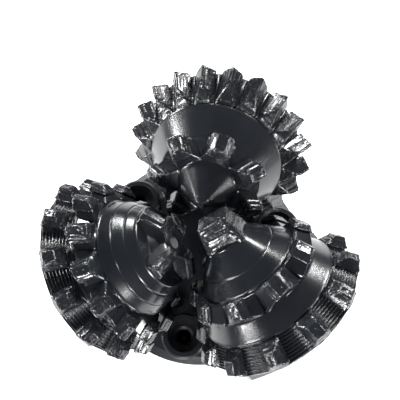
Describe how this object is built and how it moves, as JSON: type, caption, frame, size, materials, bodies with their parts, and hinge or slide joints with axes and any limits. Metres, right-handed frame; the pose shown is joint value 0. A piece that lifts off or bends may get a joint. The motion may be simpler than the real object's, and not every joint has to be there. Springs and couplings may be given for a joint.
{
  "type": "tricone drill bit",
  "caption": "Roller-cone drill bit: legs carry rolling steel-tooth cones with hardfaced teeth on sealed journal bearings, with jet nozzles and a tapered pin.",
  "frame": {"origin": "centre of the pin's make-up shoulder, on the bit axis", "axes": "+Z along the bit axis from the pin to the cones; +Y towards leg A; legs B and C follow counter-clockwise seen from the cones"},
  "size_m": [0.2117, 0.2039, 0.3187],
  "materials": {
    "black_paint": "gloss",
    "black_hardfacing": "gloss, granular",
    "cap_paint": "gloss",
    "bushing_bronze": "machined",
    "seal_rubber": "satin",
    "diaphragm_rubber": "satin",
    "bearing_steel": "polished",
    "plug_steel": "turned",
    "canister_steel": "plated",
    "ring_steel": "spring steel",
    "nozzle_carbide": "sintered"
  },
  "bodies": {
    "bit_body": {"leg_a": "black_paint", "ball_plug_a": "plug_steel", "reservoir_canister_a": "canister_steel", "diaphragm_a": "diaphragm_rubber", "reservoir_cap_a": "cap_paint", "cap_o_ring_a": "seal_rubber", "cap_snap_ring_a": "ring_steel", "nozzle_a": "nozzle_carbide", "nozzle_o_ring_a": "seal_rubber", "nozzle_snap_ring_a": "ring_steel", "leg_b": "black_paint", "ball_plug_b": "plug_steel", "reservoir_canister_b": "canister_steel", "diaphragm_b": "diaphragm_rubber", "reservoir_cap_b": "cap_paint", "cap_o_ring_b": "seal_rubber", "cap_snap_ring_b": "ring_steel", "nozzle_b": "nozzle_carbide", "nozzle_o_ring_b": "seal_rubber", "nozzle_snap_ring_b": "ring_steel", "leg_c": "black_paint", "ball_plug_c": "plug_steel", "reservoir_canister_c": "canister_steel", "diaphragm_c": "diaphragm_rubber", "reservoir_cap_c": "cap_paint", "cap_o_ring_c": "seal_rubber", "cap_snap_ring_c": "ring_steel", "nozzle_c": "nozzle_carbide", "nozzle_o_ring_c": "seal_rubber", "nozzle_snap_ring_c": "ring_steel"},
    "cone_a": {"cone_a": "black_paint", "hardfacing_a": "black_hardfacing", "journal_bushing_a": "bushing_bronze", "pilot_bushing_a": "bushing_bronze", "thrust_washer_a": "bushing_bronze", "seal_ring_a": "seal_rubber"},
    "ball_set_a": {"retaining_balls_a": "bearing_steel"},
    "cone_b": {"cone_b": "black_paint", "hardfacing_b": "black_hardfacing", "journal_bushing_b": "bushing_bronze", "pilot_bushing_b": "bushing_bronze", "thrust_washer_b": "bushing_bronze", "seal_ring_b": "seal_rubber"},
    "ball_set_b": {"retaining_balls_b": "bearing_steel"},
    "cone_c": {"cone_c": "black_paint", "hardfacing_c": "black_hardfacing", "journal_bushing_c": "bushing_bronze", "pilot_bushing_c": "bushing_bronze", "thrust_washer_c": "bushing_bronze", "seal_ring_c": "seal_rubber"},
    "ball_set_c": {"retaining_balls_c": "bearing_steel"}
  },
  "joints": [
    {"name": "cone_a_spin", "type": "hinge", "parent": "bit_body", "child": "cone_a", "pos_m": [-0.00535, 0, 0.195], "axis": [0, 0.8387, -0.5446], "continuous": true},
    {"name": "cone_b_spin", "type": "hinge", "parent": "bit_body", "child": "cone_b", "pos_m": [0.00267, -0.00463, 0.195], "axis": [-0.7263, -0.4193, -0.5446], "continuous": true},
    {"name": "cone_c_spin", "type": "hinge", "parent": "bit_body", "child": "cone_c", "pos_m": [0.00267, 0.00463, 0.195], "axis": [0.7263, -0.4193, -0.5446], "continuous": true},
    {"name": "ball_set_a_orbit", "type": "hinge", "parent": "bit_body", "child": "ball_set_a", "pos_m": [-0.00535, 0, 0.195], "axis": [0, 0.8387, -0.5446], "continuous": true},
    {"name": "ball_set_b_orbit", "type": "hinge", "parent": "bit_body", "child": "ball_set_b", "pos_m": [0.00267, -0.00463, 0.195], "axis": [-0.7263, -0.4193, -0.5446], "continuous": true},
    {"name": "ball_set_c_orbit", "type": "hinge", "parent": "bit_body", "child": "ball_set_c", "pos_m": [0.00267, 0.00463, 0.195], "axis": [0.7263, -0.4193, -0.5446], "continuous": true}
  ],
  "couplings": [
    {"joint": "ball_set_a_orbit", "follows": "cone_a_spin", "ratio": 0.6224},
    {"joint": "ball_set_b_orbit", "follows": "cone_b_spin", "ratio": 0.6224},
    {"joint": "ball_set_c_orbit", "follows": "cone_c_spin", "ratio": 0.6224}
  ]
}
